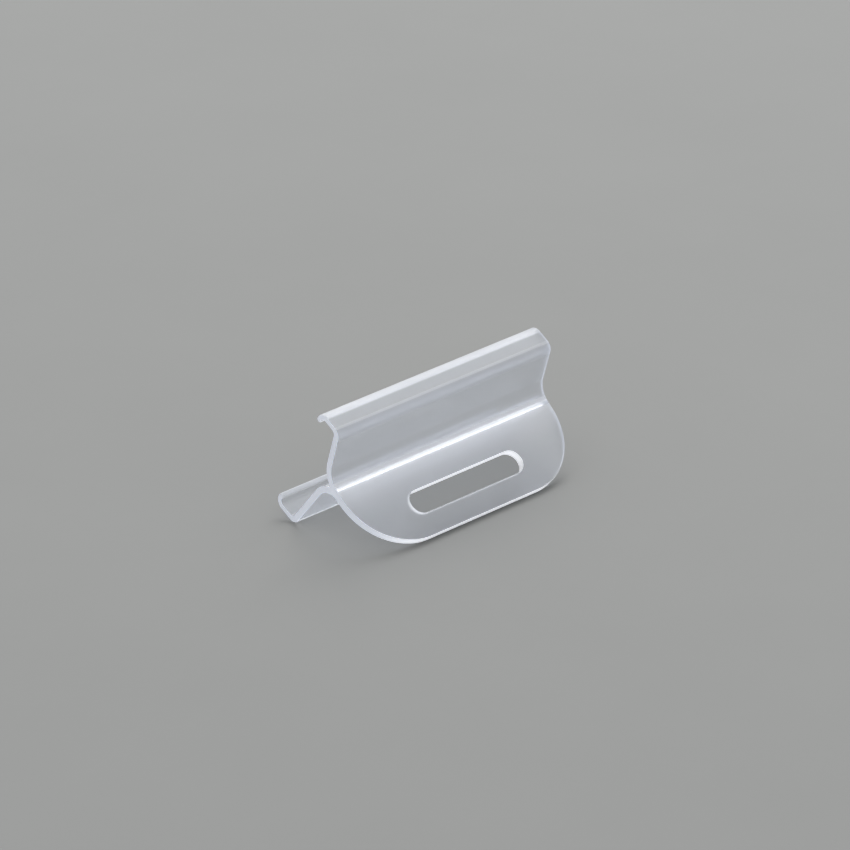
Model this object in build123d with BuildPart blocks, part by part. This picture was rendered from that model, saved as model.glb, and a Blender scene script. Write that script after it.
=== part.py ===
from build123d import *
import os
from math import asin, atan2, cos, radians, sin, sqrt, tan

# Length along the shade's bottom bar, and the flat bar that the clip snaps over
handle_length = 56.0
bar_width = 25.0
bar_clearance = 0.1

# Walls
web_wall = 1.4
hook_wall = 1.1
tab_thickness = 1.75

# Lower jaw: a web that leans forward, a hook under the bar and a lip behind it
lower_web_lean = 8.0
lower_hook_reach = 4.0
lower_lip = 1.5

# Upper jaw: set back from the lower one
upper_set_back = 1.1
upper_web_lean = 14.3
upper_hook_reach = 3.7
upper_lip = 1.5

# Finger tab: its front face stands tab_height above the bar's lower edge, at the foot of the lower web,
# and its two round corners start a short land below the bends
tab_height = 16.15
tab_droop = 9.9
tab_reach = 20.95
corner_land = 0.1

# Long slot through the tab
slot_length = 28.9
slot_width = 4.9
slot_margin = 4.6

# Inside radii of the bends, the rounding of the lips and the softening of the cut edges
root_bend = 4.4
arch_bend = 3.3
hook_bend = 0.85
notch_fillet = 0.35
lip_round = 0.4
edge_round = 0.2

pocket = bar_width + bar_clearance
outer_bend = hook_bend + hook_wall
upper_lip_face = upper_set_back + upper_hook_reach
low = radians(lower_web_lean)
high = radians(upper_web_lean)
droop = radians(tab_droop)


# The section lies across the length: X runs back from the foot of the lower web, Y up along the bar
def tab_point(reach, depth):
    """A point at a reach along the tab's front face and a depth below that face."""
    return Vector(
        depth * sin(droop) - reach * cos(droop),
        tab_height - reach * sin(droop) - depth * cos(droop),
    )


def reach_of(point):
    """How far along the tab a point lies."""
    return (tab_height - point.Y) * sin(droop) - point.X * cos(droop)


def lower_web(height, offset):
    """A point of the lower web at a height, offset behind its inner face."""
    return Vector(offset / cos(low) - height * tan(low), height)


def upper_web(height, offset):
    """A point of the upper web at a height, offset behind its inner face."""
    return Vector(upper_set_back + offset / cos(high) + (height - pocket) * tan(high), height)


def web_at_tab(web, offset, depth):
    """Where a face of a web meets the plane at a depth below the tab's front face."""
    foot = web(0, offset)
    lean = (web(pocket, offset).X - foot.X) / pocket
    level = tab_height - depth / cos(droop)
    return web((level + foot.X * tan(droop)) / (1 - lean * tan(droop)), offset)


# Centres of the two bends that turn the webs forward into the tab
root_centre = web_at_tab(upper_web, -web_wall - root_bend, -root_bend)
arch_centre = web_at_tab(lower_web, -web_wall - arch_bend, tab_thickness + arch_bend)
corner_start = max(reach_of(root_centre), reach_of(arch_centre)) + corner_land
corner_radius = tab_reach - corner_start

# The backs of these bends cross in a notch between the jaws
root_back = root_bend + web_wall
arch_back = arch_bend + web_wall
between = root_centre - arch_centre
along = (between.length**2 + arch_back**2 - root_back**2) / (2 * between.length)
aside = sqrt(arch_back**2 - along**2)
notch = arch_centre + between.normalized() * along + between.normalized().rotate(Axis.Z, -90) * aside

# Outlines of the two jaws: each corner with the radius of its bend
upper_jaw = [
    (tab_point(corner_start, 0), 0),
    (web_at_tab(upper_web, -web_wall, 0), root_bend),
    (upper_web(pocket + hook_wall, -web_wall), outer_bend),
    (Vector(upper_lip_face + hook_wall, pocket + hook_wall), outer_bend),
    (Vector(upper_lip_face + hook_wall, pocket - upper_lip), lip_round),
    (Vector(upper_lip_face, pocket - upper_lip), lip_round),
    (Vector(upper_lip_face, pocket), hook_bend),
    (upper_web(pocket, 0), hook_bend),
    (web_at_tab(upper_web, 0, web_wall), root_back),
    (tab_point(corner_start, web_wall), 0),
]
lower_jaw = [
    (tab_point(corner_start, tab_thickness), 0),
    (web_at_tab(lower_web, -web_wall, tab_thickness), arch_bend),
    (lower_web(-hook_wall, -web_wall), outer_bend),
    (Vector(lower_hook_reach + hook_wall, -hook_wall), outer_bend),
    (Vector(lower_hook_reach + hook_wall, lower_lip), lip_round),
    (Vector(lower_hook_reach, lower_lip), lip_round),
    (Vector(lower_hook_reach, 0), hook_bend),
    (lower_web(0, 0), hook_bend),
    (web_at_tab(lower_web, 0, tab_thickness - web_wall), arch_back),
    (tab_point(corner_start, tab_thickness - web_wall), 0),
]

# At rest the handle stands on the tab's free edge and on the bend under the lower jaw
heel_centre = lower_web(outer_bend - hook_wall, outer_bend - web_wall)
toe_centre = tab_point(tab_reach - edge_round, tab_thickness - edge_round)
tread = heel_centre - toe_centre
tilt = asin((outer_bend - edge_round) / tread.length) - atan2(tread.Y, tread.X)


def at_rest(point):
    """Depth and height of a point of the section once the handle is tilted to its rest."""
    return Vector(
        point.X * cos(tilt) - point.Y * sin(tilt),
        point.X * sin(tilt) + point.Y * cos(tilt),
    )


front_edge = at_rest(tab_point(tab_reach - edge_round, edge_round)).X - edge_round
back_edge = at_rest(Vector(lower_hook_reach - hook_bend, hook_bend)).X + outer_bend
ground = at_rest(heel_centre).Y - outer_bend
section_plane = Plane(
    origin=(0, -(front_edge + back_edge) / 2, -ground),
    x_dir=(0, cos(tilt), sin(tilt)),
    z_dir=(1, 0, 0),
)
tab_plane = Plane(
    origin=section_plane.from_local_coords(tab_point(0, 0)),
    x_dir=(1, 0, 0),
    z_dir=(0, -sin(tilt + droop), cos(tilt + droop)),
)

with BuildPart() as pull_handle:
    # Both jaws, down to where the tab's round corners start
    with BuildSketch(section_plane) as section:
        for jaw in (upper_jaw, lower_jaw):
            corners, bends = zip(*jaw)
            with BuildLine():
                FilletPolyline(*corners, radius=bends, close=True)
            make_face()
        fillet(section.vertices().sort_by_distance(notch)[0], notch_fillet)
    extrude(amount=handle_length / 2, both=True)

    # Tab: a plate with two quarter-round corners and the long slot
    with BuildSketch(tab_plane):
        corner_x = handle_length / 2 - corner_radius
        with BuildLine():
            free_edge = Line((-corner_x, -tab_reach), (corner_x, -tab_reach))
            right = RadiusArc(free_edge @ 1, (handle_length / 2, -corner_start), -corner_radius)
            left = RadiusArc((-handle_length / 2, -corner_start), free_edge @ 0, -corner_radius)
            Line(right @ 1, left @ 0)
        make_face()
        with Locations((0, slot_margin + slot_width / 2 - tab_reach)):
            SlotOverall(slot_length, slot_width, mode=Mode.SUBTRACT)
    extrude(amount=-tab_thickness)

    # Cut edges, softened all round: both end faces, and the rims of the tab and its slot
    ends = pull_handle.faces().filter_by(Axis.X).edges()
    rims = pull_handle.faces().filter_by(tab_plane).edges()
    seams = ends.filter_by(Axis((0, 0, 0), tab_plane.z_dir))
    bend_lines = rims.filter_by(Axis.X).sort_by(SortBy.LENGTH)[-2:]
    fillet((ends + rims) - seams - bend_lines, edge_round)

pull_handle.part.label = "pull_handle"
os.makedirs("parts", exist_ok=True)
export_step(pull_handle.part, "parts/pull_handle.step")
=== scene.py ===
# %% [markdown]
# A clip-on pull handle for a roller shade, in clear plastic. Two hooked jaws go over the flat bar in the hem of
# the shade, and a rounded finger tab with a long slot stands out in front of them. Such a handle is probably made
# from one long strip with a Y-shaped section, which is extruded and cut to length before the tab's corners and its
# slot are milled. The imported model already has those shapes, so this lesson spends its effort on what makes clear
# plastic look like plastic: clean normals, a satin skin, frosted cut edges and soft light.

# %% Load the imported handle
import math

import bmesh
import bpy
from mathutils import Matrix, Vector


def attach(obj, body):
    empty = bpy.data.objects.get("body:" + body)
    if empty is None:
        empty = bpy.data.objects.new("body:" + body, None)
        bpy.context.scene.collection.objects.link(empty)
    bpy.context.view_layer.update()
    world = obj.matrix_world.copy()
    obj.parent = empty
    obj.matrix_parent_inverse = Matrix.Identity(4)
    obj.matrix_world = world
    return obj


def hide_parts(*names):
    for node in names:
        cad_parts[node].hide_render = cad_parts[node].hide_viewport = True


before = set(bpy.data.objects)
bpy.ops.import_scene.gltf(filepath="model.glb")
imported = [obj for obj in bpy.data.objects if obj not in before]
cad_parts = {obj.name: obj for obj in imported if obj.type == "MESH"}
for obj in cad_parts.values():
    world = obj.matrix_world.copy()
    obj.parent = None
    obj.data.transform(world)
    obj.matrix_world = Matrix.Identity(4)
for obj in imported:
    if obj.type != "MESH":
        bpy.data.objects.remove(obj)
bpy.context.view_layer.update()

handle_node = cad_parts["pull_handle"]

# %% [markdown]
# Colours are easiest to pick as the sRGB hex values that a screen shows, but shaders add up light, so they want
# linear numbers. One small function does that step for every colour in the file, with the sRGB standard's curve.


# %% Colour helper
def linear(hex_colour):
    channels = [int(hex_colour[i:i + 2], 16) / 255 for i in (0, 2, 4)]
    return tuple(c / 12.92 if c <= 0.04045 else ((c + 0.055) / 1.055) ** 2.4 for c in channels) + (1.0,)


print("card grey in linear light:", [round(c, 3) for c in linear("A1A2A1")])

# %% [markdown]
# A material is a tree of nodes. Writing one line per socket gets long, so one function adds a node of any kind,
# sets its properties, fills its sockets with numbers, and links the sockets that another node feeds.


# %% Node helper
def add_node(tree, kind, settings=None, values=None, links=None):
    node = tree.nodes.new(kind)
    for name, value in (settings or {}).items():
        setattr(node, name, value)
    for socket, value in (values or {}).items():
        node.inputs[socket].default_value = value
    for socket, source in (links or {}).items():
        tree.links.new(source, node.inputs[socket])
    return node


def new_material(name):
    material = bpy.data.materials.new(name)
    material.use_nodes = True
    material.node_tree.nodes.clear()
    return material, material.node_tree


print("helpers ready:", add_node.__name__, "and", new_material.__name__)

# %% [markdown]
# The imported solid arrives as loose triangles. For clear plastic that matters more than for paint, because light
# bends at every face: a seam or a wrong normal shows as a streak. A copy is merged into one closed skin, and the
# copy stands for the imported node. Its faces are then sorted into two kinds. The long skin is taken to come from an
# extruder's die, and the cut edges to be sawn or milled: the two ends, the tab's rim and the slot's wall. On the
# tab a cut face is one whose normal lies in the plane of the tab, so two dot products find them.

# %% Merge the skin and sort its faces
TAB_FACE = Vector((0.0, -0.651, 0.759))
TAB_OUTWARD = Vector((0.0, -0.759, -0.651))
TAB_STARTS = -0.0050
SAME_CORNER = 1e-6
END_NORMAL = 0.75
RIM_NORMAL = 0.65
SATIN_SLOT, CUT_SLOT = 0, 1

handle_mesh = bpy.data.meshes.new("pull_handle_skin")
skin = bmesh.new()
skin.from_mesh(handle_node.data)
bmesh.ops.remove_doubles(skin, verts=skin.verts, dist=SAME_CORNER)
open_edges = sum(1 for edge in skin.edges if not edge.is_manifold)
cut_faces = 0
for face in skin.faces:
    face.smooth = True
    on_tab = face.calc_center_median().dot(TAB_OUTWARD) > TAB_STARTS
    sawn_end = abs(face.normal.x) > END_NORMAL
    milled = on_tab and abs(face.normal.dot(TAB_FACE)) < RIM_NORMAL
    face.material_index = CUT_SLOT if sawn_end or milled else SATIN_SLOT
    cut_faces += sawn_end or milled
skin.to_mesh(handle_mesh)
skin.free()
print("skin faces", len(handle_mesh.polygons), "of which cut", cut_faces, "open edges", open_edges)

# %% [markdown]
# Long thin triangles next to small rounds pull smooth normals out of true, which would put false ripples on the
# flat faces. A Weighted Normal modifier lets the big flat faces decide, so the flats stay flat to the eye and
# the small rounds carry the whole turn.

# %% Make the piece and weight its normals
handle = bpy.data.objects.new("clear_pull_handle", handle_mesh)
bpy.context.scene.collection.objects.link(handle)
flat_faces_lead = handle.modifiers.new("flat_faces_lead", "WEIGHTED_NORMAL")
flat_faces_lead.mode = "FACE_AREA"
flat_faces_lead.weight = 50
flat_faces_lead.keep_sharp = True
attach(handle, "root")
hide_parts("pull_handle")
print("piece", handle.name, "stands for pull_handle")

# %% [markdown]
# The plastic is taken to be polycarbonate, which is clear with a faint cool cast. Its satin skin keeps the shapes
# behind it readable and lets highlights run soft along the bends. Such a skin bends most of the light cleanly and
# throws the rest wide, so two shaders share it. Principled glass with the typical index of 1.585 and little
# roughness keeps the lines in the bends crisp, and a rougher glass lays a veil over them. Die lines and grain are
# finer than a pixel on a real skin, so here they are drawn coarser and very shallow. All sizes are in metres.

# %% Satin skin of extruded clear polycarbonate
POLYCARBONATE_IOR = 1.585
DIE_LINE_SPACING, DIE_LINE_STRETCH, DIE_LINE_SHARE = 0.0006, 0.04, 0.45
GRAIN_SIZE = 0.00035
HANDLING_PATCH = 0.009

satin, tree = new_material("clear_polycarbonate_extruded_satin")
place = add_node(tree, "ShaderNodeTexCoord").outputs["Object"]
along_die = add_node(
    tree, "ShaderNodeMapping", values={"Scale": (DIE_LINE_STRETCH, 1.0, 1.0)}, links={"Vector": place})
die_lines = add_node(
    tree, "ShaderNodeTexNoise", values={"Scale": 1 / DIE_LINE_SPACING, "Detail": 3.0, "Roughness": 0.6},
    links={"Vector": along_die.outputs["Vector"]})
grain = add_node(
    tree, "ShaderNodeTexNoise", values={"Scale": 1 / GRAIN_SIZE, "Detail": 2.0, "Roughness": 0.5},
    links={"Vector": place})
handling = add_node(
    tree, "ShaderNodeTexNoise", values={"Scale": 1 / HANDLING_PATCH, "Detail": 4.0, "Roughness": 0.55},
    links={"Vector": place})
relief = add_node(
    tree, "ShaderNodeMath", {"operation": "MULTIPLY_ADD"}, {1: DIE_LINE_SHARE},
    {0: die_lines.outputs["Fac"], 2: grain.outputs["Fac"]})
satin_bump = add_node(
    tree, "ShaderNodeBump", values={"Strength": 0.03, "Distance": 0.00002},
    links={"Height": relief.outputs["Value"]})
satin_gloss = add_node(
    tree, "ShaderNodeMapRange", values={"From Min": 0.3, "From Max": 0.7, "To Min": 0.08, "To Max": 0.14},
    links={"Value": handling.outputs["Fac"]})
cool_tint = add_node(
    tree, "ShaderNodeMix", {"data_type": "RGBA"}, {"A": linear("F7F9FE"), "B": linear("FAFCFF")},
    {"Factor": grain.outputs["Fac"]})
clear = add_node(
    tree, "ShaderNodeBsdfPrincipled", values={"Transmission Weight": 0.95, "IOR": POLYCARBONATE_IOR},
    links={"Base Color": cool_tint.outputs["Result"], "Roughness": satin_gloss.outputs["Result"],
           "Normal": satin_bump.outputs["Normal"]})
veiled = add_node(
    tree, "ShaderNodeBsdfGlass", values={"Roughness": 0.6, "IOR": POLYCARBONATE_IOR},
    links={"Color": cool_tint.outputs["Result"], "Normal": satin_bump.outputs["Normal"]})
print("material", satin.name, "has a clear and a veiled glass")

# %% [markdown]
# How much veil there is was matched to the photograph's brightness. A third of the light goes to it everywhere, and
# more on the upper bend, where the photograph looks softer. Why it does isn't known. The place is a point in the
# handle's section, so X is left out of the distance and the veil runs along the whole length.

# %% Veil over the clear glass
UPPER_BEND = (0.0, -0.0030, 0.0229)
BEND_OUTER, BEND_INNER = 0.0017, 0.0009
VEIL_SHARE, BEND_VEIL_SHARE = 0.33, 0.60

in_section = add_node(
    tree, "ShaderNodeVectorMath", {"operation": "MULTIPLY"}, {1: (0.0, 1.0, 1.0)}, {0: place}).outputs["Vector"]
from_bend = add_node(tree, "ShaderNodeVectorMath", {"operation": "DISTANCE"}, {1: UPPER_BEND}, {0: in_section})
veil = add_node(
    tree, "ShaderNodeMapRange", {"interpolation_type": "SMOOTHSTEP"},
    {"From Min": BEND_OUTER, "From Max": BEND_INNER, "To Min": VEIL_SHARE, "To Max": BEND_VEIL_SHARE},
    {"Value": from_bend.outputs["Value"]})
satin_glass = add_node(
    tree, "ShaderNodeMixShader",
    links={0: veil.outputs["Result"], 1: clear.outputs["BSDF"], 2: veiled.outputs["BSDF"]})
print("veil from", VEIL_SHARE, "to", BEND_VEIL_SHARE, "on the upper bend")

# %% [markdown]
# In the photograph some places look milky: the knot where the walls meet, the upper end of the tab, the upper
# hook's crest, the crease below it and the lower hook's lip. Highlights and light running inside the wall make
# them bright, so the white haze laid on them here is painted highlight and glow. It was placed and weighed by
# comparing brightness with that one picture. Each line is a point in the section, the distances at which its painted
# haze begins and is full, and its share. On the tab the painted glow fades towards the free edge instead.

# %% Painted highlight and glow by place
# Painted highlight and glow: each line whitens a strip of the section with haze.
PAINTED_HIGHLIGHT_LINES = {
    "upper_crest": ((0.0, 0.0009, 0.0255), 0.00135, 0.00105, 0.50),
    "upper_crease": ((0.0, -0.0024, 0.02406), 0.00040, 0.00015, 0.40),
    "lower_lip": ((0.0, 0.0133, 0.0044), 0.00080, 0.00050, 0.52),
    "thick_knot": ((0.0, -0.0019, 0.0119), 0.00060, 0.00025, 0.55),
}
TAB_GLOW_BEGINS, TAB_GLOW_FULL, TAB_PAINTED_GLOW_SHARE = -0.00510, -0.00485, 0.50
TAB_FADE_STARTS, TAB_FADE_ENDS, TAB_FADE_POWER = -0.0049, 0.0068, 3.0

# Painted glow on the tab: lighter next to the root bend, fading fast towards the free edge.
down_tab = add_node(tree, "ShaderNodeVectorMath", {"operation": "DOT_PRODUCT"}, {1: TAB_OUTWARD}, {0: place})
tab_painted_glow = add_node(
    tree, "ShaderNodeMapRange", {"interpolation_type": "SMOOTHSTEP"},
    {"From Min": TAB_GLOW_BEGINS, "From Max": TAB_GLOW_FULL, "To Min": 0.0, "To Max": TAB_PAINTED_GLOW_SHARE},
    {"Value": down_tab.outputs["Value"]})
near_bend = add_node(
    tree, "ShaderNodeMapRange",
    values={"From Min": TAB_FADE_ENDS, "From Max": TAB_FADE_STARTS, "To Min": 0.0, "To Max": 1.0},
    links={"Value": down_tab.outputs["Value"]})
fades_fast = add_node(
    tree, "ShaderNodeMath", {"operation": "POWER"}, {1: TAB_FADE_POWER}, {0: near_bend.outputs["Result"]})
painted_light_share = add_node(
    tree, "ShaderNodeMath", {"operation": "MULTIPLY"},
    links={0: fades_fast.outputs["Value"], 1: tab_painted_glow.outputs["Result"]})
for line, (spot, outer, inner, share) in PAINTED_HIGHLIGHT_LINES.items():
    away = add_node(tree, "ShaderNodeVectorMath", {"operation": "DISTANCE"}, {1: spot}, {0: in_section})
    painted = add_node(
        tree, "ShaderNodeMapRange", {"interpolation_type": "SMOOTHSTEP"},
        {"From Min": outer, "From Max": inner, "To Min": 0.0, "To Max": share}, {"Value": away.outputs["Value"]})
    painted_light_share = add_node(
        tree, "ShaderNodeMath", {"operation": "MAXIMUM"},
        links={0: painted_light_share.outputs["Value"], 1: painted.outputs["Result"]})
    print("hazy line", line, "with a share of", share)

# %% [markdown]
# Light that doesn't find its way straight out runs along inside the wall, as in a light pipe. A path tracer gives
# such paths up after a few bounces and leaves black bands, so here a ray that was reflected twice is scattered to
# both sides by the same haze. That is a stand-in and no simulation: a Translucent and a Diffuse shader are added up,
# and together they give back about 1.2 to 1.3 times the light that falls on them. Lamps, too, shine through clear
# plastic only by chance, so shadow rays and diffuse rays pass a pale film, whose tint was matched to the
# photograph's floor in the slot.


# %% Trapped light and soft shadows
def scatter_both_ways(tree, values=None, links=None):
    through = add_node(tree, "ShaderNodeBsdfTranslucent", values=values, links=links)
    back = add_node(tree, "ShaderNodeBsdfDiffuse", values=values, links=links)
    both = add_node(tree, "ShaderNodeAddShader", links={0: through.outputs["BSDF"], 1: back.outputs["BSDF"]})
    return both.outputs["Shader"]


def finish_with_film(tree, plastic, film_rays, film_colour):
    film = add_node(tree, "ShaderNodeBsdfTransparent", values={"Color": linear(film_colour)})
    lets_lamps_through = add_node(
        tree, "ShaderNodeMixShader", links={0: film_rays, 1: plastic, 2: film.outputs["BSDF"]})
    add_node(tree, "ShaderNodeOutputMaterial", links={"Surface": lets_lamps_through.outputs["Shader"]})


OVER_ONE_REFLECTION = 1.5

ray = add_node(tree, "ShaderNodeLightPath").outputs
trapped = add_node(
    tree, "ShaderNodeMath", {"operation": "GREATER_THAN"}, {1: OVER_ONE_REFLECTION}, {0: ray["Glossy Depth"]})
# This haze share also carries the painted highlight and glow set by place above.
trapped_and_painted_share = add_node(
    tree, "ShaderNodeMath", {"operation": "MAXIMUM"},
    links={0: trapped.outputs["Value"], 1: painted_light_share.outputs["Value"]})
haze_and_painted_glow = scatter_both_ways(tree, values={"Color": linear("CED0D4")})
glass_with_haze_and_painted_light = add_node(
    tree, "ShaderNodeMixShader",
    links={0: trapped_and_painted_share.outputs["Value"], 1: satin_glass.outputs["Shader"], 2: haze_and_painted_glow})
soft = add_node(
    tree, "ShaderNodeMath", {"operation": "MAXIMUM"}, links={0: ray["Is Shadow Ray"], 1: ray["Is Diffuse Ray"]})
finish_with_film(tree, glass_with_haze_and_painted_light.outputs["Shader"], soft.outputs["Value"], "F0F1F3")
handle_mesh.materials.append(satin)
print("material", satin.name, "with", len(tree.nodes), "nodes")

# %% [markdown]
# A saw or a milling cutter leaves a clear plastic frosted, and its fine marks roughen the whole edge. Light that
# travels inside the wall comes out there in all directions, so a cut edge looks whiter than the faces it joins.
# The base is a rough glass with some light scattered below its surface.

# %% Frosted cut edges of the same polycarbonate
CUTTER_MARK_SIZE = 0.00025

frosted, tree = new_material("clear_polycarbonate_milled_frosted")
place = add_node(tree, "ShaderNodeTexCoord").outputs["Object"]
cutter_marks = add_node(
    tree, "ShaderNodeTexNoise", values={"Scale": 1 / CUTTER_MARK_SIZE, "Detail": 3.0, "Roughness": 0.6},
    links={"Vector": place})
frost_bump = add_node(
    tree, "ShaderNodeBump", values={"Strength": 0.15, "Distance": 0.00003},
    links={"Height": cutter_marks.outputs["Fac"]})
frost_gloss = add_node(
    tree, "ShaderNodeMapRange", values={"From Min": 0.3, "From Max": 0.7, "To Min": 0.42, "To Max": 0.58},
    links={"Value": cutter_marks.outputs["Fac"]})
frost_tint = add_node(
    tree, "ShaderNodeMix", {"data_type": "RGBA"}, {"A": linear("F4F6FA"), "B": linear("FFFFFF")},
    {"Factor": cutter_marks.outputs["Fac"]})
rough_glass = add_node(
    tree, "ShaderNodeBsdfPrincipled",
    values={"Transmission Weight": 0.5, "IOR": POLYCARBONATE_IOR, "Subsurface Weight": 1.0,
            "Subsurface Scale": 0.003, "Subsurface Radius": (1.0, 1.0, 1.0)},
    links={"Base Color": frost_tint.outputs["Result"], "Roughness": frost_gloss.outputs["Result"],
           "Normal": frost_bump.outputs["Normal"]})
print("material", frosted.name, "has a rough glass")

# %% [markdown]
# In the photograph the slot and the middle of the tab's rim are nearly white, and towards the two ends the edges
# turn grey. The wide faces in the middle may catch more light for an edge to give out. That piped light isn't
# simulated but painted: the edge's colour is set by the distance from the middle, matched to the photograph, and
# laid over the rough glass, so the white middle is painted glow on a frosted edge. The two added shaders give back
# up to nearly twice the light that falls on them, so under other light the edges may look too bright.

# %% Painted glow of the cut edges
GREY_FROM_MIDDLE, WHITE_FROM_MIDDLE = 0.0280, 0.0165
EDGE_LIGHT_SHARE = 0.85
OVER_TWO_REFLECTIONS = 2.5

along = add_node(tree, "ShaderNodeSeparateXYZ", links={"Vector": place})
from_middle = add_node(tree, "ShaderNodeMath", {"operation": "ABSOLUTE"}, links={0: along.outputs["X"]})
# Painted glow: the edge colour runs from grey at the ends to near white in the middle.
painted_glow_amount = add_node(
    tree, "ShaderNodeMapRange", {"interpolation_type": "SMOOTHSTEP"},
    {"From Min": GREY_FROM_MIDDLE, "From Max": WHITE_FROM_MIDDLE, "To Min": 0.0, "To Max": 1.0},
    {"Value": from_middle.outputs["Value"]})
edge_light = add_node(
    tree, "ShaderNodeMix", {"data_type": "RGBA"}, {"A": linear("BFC3CC"), "B": linear("FAFBFE")},
    {"Factor": painted_glow_amount.outputs["Result"]})
given_out = scatter_both_ways(
    tree, links={"Color": edge_light.outputs["Result"], "Normal": frost_bump.outputs["Normal"]})
lit_edge = add_node(
    tree, "ShaderNodeMixShader", values={0: EDGE_LIGHT_SHARE}, links={1: rough_glass.outputs["BSDF"], 2: given_out})
ray = add_node(tree, "ShaderNodeLightPath").outputs
trapped = add_node(
    tree, "ShaderNodeMath", {"operation": "GREATER_THAN"}, {1: OVER_TWO_REFLECTIONS}, {0: ray["Glossy Depth"]})
soft = add_node(
    tree, "ShaderNodeMath", {"operation": "MAXIMUM"}, links={0: ray["Is Shadow Ray"], 1: ray["Is Diffuse Ray"]})
passes = add_node(
    tree, "ShaderNodeMath", {"operation": "MAXIMUM"}, links={0: soft.outputs["Value"], 1: trapped.outputs["Value"]})
finish_with_film(tree, lit_edge.outputs["Shader"], passes.outputs["Value"], "707274")
handle_mesh.materials.append(frosted)
print("material", frosted.name, "with", len(tree.nodes), "nodes")

# %% [markdown]
# Clear plastic shows what is behind it, so the floor is half of the look. It is a plain sheet of pale grey card:
# matt, with a very faint cloudiness that keeps it from looking computed.

# %% Pale card floor
FLOOR_HALF_WIDTH = 3.0
CLOUD_SIZE = 0.06

floor_mesh = bpy.data.meshes.new("card_floor")
card = bmesh.new()
bmesh.ops.create_grid(card, x_segments=1, y_segments=1, size=FLOOR_HALF_WIDTH)
card.to_mesh(floor_mesh)
card.free()
floor = bpy.data.objects.new("card_floor", floor_mesh)
bpy.context.scene.collection.objects.link(floor)
matt_card, tree = new_material("pale_grey_card_matt")
place = add_node(tree, "ShaderNodeTexCoord").outputs["Object"]
clouds = add_node(
    tree, "ShaderNodeTexNoise", values={"Scale": 1 / CLOUD_SIZE, "Detail": 5.0, "Roughness": 0.6},
    links={"Vector": place})
card_colour = add_node(
    tree, "ShaderNodeMix", {"data_type": "RGBA"}, {"A": linear("9FA09F"), "B": linear("A4A5A4")},
    {"Factor": clouds.outputs["Fac"]})
shader = add_node(
    tree, "ShaderNodeBsdfPrincipled", values={"Roughness": 0.8, "Specular IOR Level": 0.2},
    links={"Base Color": card_colour.outputs["Result"]})
add_node(tree, "ShaderNodeOutputMaterial", links={"Surface": shader.outputs["BSDF"]})
floor_mesh.materials.append(matt_card)
print("floor of", matt_card.name)

# %% [markdown]
# Studio light for clear plastic is large and soft. A pale dome fills every side. A softbox above and behind shines
# through the bends and brightens the white line along the root. A small one to the right puts a little gloss on the
# edges. Their places and strengths were matched to the photograph. Together they light the floor at about one, so
# that its colour renders about as it is written.


# %% Dome and softboxes
def softbox(name, place, size, radiance):
    lamp = bpy.data.lights.new(name, "AREA")
    lamp.shape = "RECTANGLE"
    lamp.size, lamp.size_y = size
    lamp.energy = radiance * math.pi * size[0] * size[1]
    holder = bpy.data.objects.new(name, lamp)
    holder.location = place
    holder.rotation_euler = (-Vector(place)).to_track_quat("-Z", "Y").to_euler()
    bpy.context.scene.collection.objects.link(holder)
    print(name, "at", place, "gives", round(lamp.energy, 2), "W")


DOME_STRENGTH = 0.70

softbox("back_softbox", place=(0.74, 0.54, 0.92), size=(0.9, 0.76), radiance=3.0)
softbox("right_softbox", place=(0.775, -0.57, 0.80), size=(0.10, 0.10), radiance=8.0)

world = bpy.data.worlds.new("pale_dome")
world.use_nodes = True
world.node_tree.nodes.clear()
dome = add_node(
    world.node_tree, "ShaderNodeBackground", values={"Color": linear("FFFFFF"), "Strength": DOME_STRENGTH})
add_node(world.node_tree, "ShaderNodeOutputWorld", links={"Surface": dome.outputs["Background"]})
bpy.context.scene.world = world
bpy.context.scene.view_settings.view_transform = "Standard"
print("dome of strength", DOME_STRENGTH)

# %% [markdown]
# The view is that of a long lens from above the handle's left end. Camera place, aim and focal length come from
# fitting the solid's own corners to the photograph, so the outline lands about where the photograph has it.

# %% Camera
CAMERA_PLACE = (-0.661015, -0.693667, 0.485922)
CAMERA_AIM = Vector((0.61774, 0.65085, -0.44136))
SENSOR_MM, LENS_MM = 36.0, 236.25

camera_data = bpy.data.cameras.new("long_lens")
camera_data.sensor_width = SENSOR_MM
camera_data.lens = LENS_MM
camera = bpy.data.objects.new("long_lens", camera_data)
camera.location = CAMERA_PLACE
camera.rotation_euler = CAMERA_AIM.to_track_quat("-Z", "Y").to_euler()
bpy.context.scene.collection.objects.link(camera)
bpy.context.scene.camera = camera
print("camera at", tuple(round(c, 3) for c in camera.location), "with a", camera_data.lens, "mm lens")
